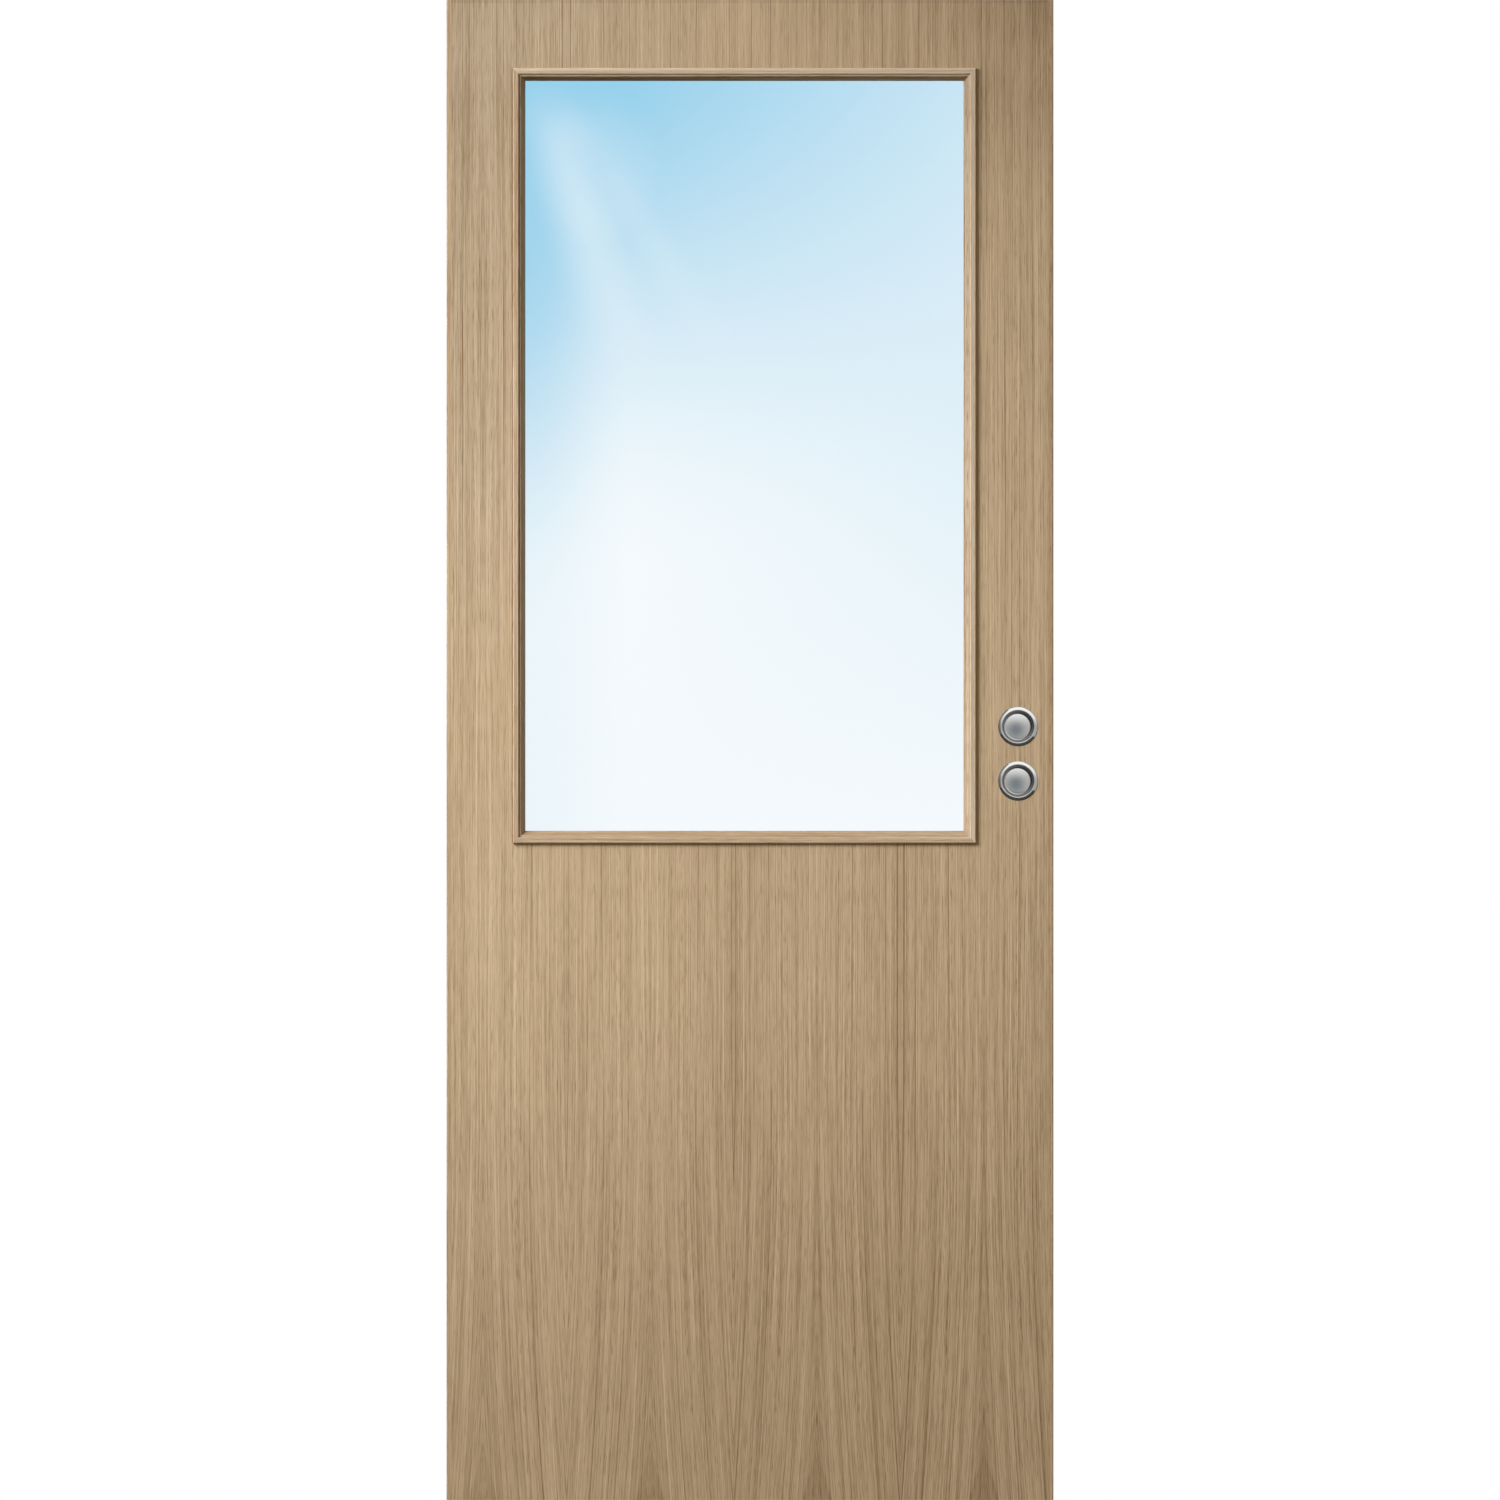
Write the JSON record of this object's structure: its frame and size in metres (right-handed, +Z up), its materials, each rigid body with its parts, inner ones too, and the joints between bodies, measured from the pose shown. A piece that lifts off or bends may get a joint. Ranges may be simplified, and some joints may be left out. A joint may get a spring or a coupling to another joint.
{
  "type": "sliding door leaf",
  "caption": "Flush oak-veneered sliding door leaf with a tall glass pane in a mitred bead frame and round flush pulls; it hangs by its top edge and runs over a floor guide.",
  "frame": {"origin": "middle of the leaf's top edge, where the hangers are fixed", "axes": "+Z up, +X towards the leading edge with the pulls, +Y towards the back face; the front face looks along -Y"},
  "size_m": [0.825, 0.05, 2.04],
  "materials": {
    "oak_veneer": "crown-cut oak veneer, matt clear lacquer",
    "oak_solid": "solid oak, matt clear lacquer",
    "frame_timber": "planed softwood, raw",
    "core": "raw chipboard",
    "glass": "clear float glass",
    "glazing_tape": "matt foam tape",
    "pull_steel": "satin turned stainless steel"
  },
  "bodies": {
    "root": {"front_face_panel": "oak_veneer", "back_face_panel": "oak_veneer", "leading_stile": "frame_timber", "trailing_stile": "frame_timber", "top_rail": "frame_timber", "middle_rail": "frame_timber", "bottom_rail": "frame_timber", "core_board": "core", "leading_edge_lipping": "oak_solid", "trailing_edge_lipping": "oak_solid", "glass_pane": "glass", "front_glazing_tape": "glazing_tape", "back_glazing_tape": "glazing_tape", "front_bead_top": "oak_solid", "front_bead_bottom": "oak_solid", "front_bead_leading": "oak_solid", "front_bead_trailing": "oak_solid", "back_bead_top": "oak_solid", "back_bead_bottom": "oak_solid", "back_bead_leading": "oak_solid", "back_bead_trailing": "oak_solid", "front_pull_upper": "pull_steel", "front_pull_lower": "pull_steel", "back_pull_upper": "pull_steel", "back_pull_lower": "pull_steel"}
  },
  "joints": []
}
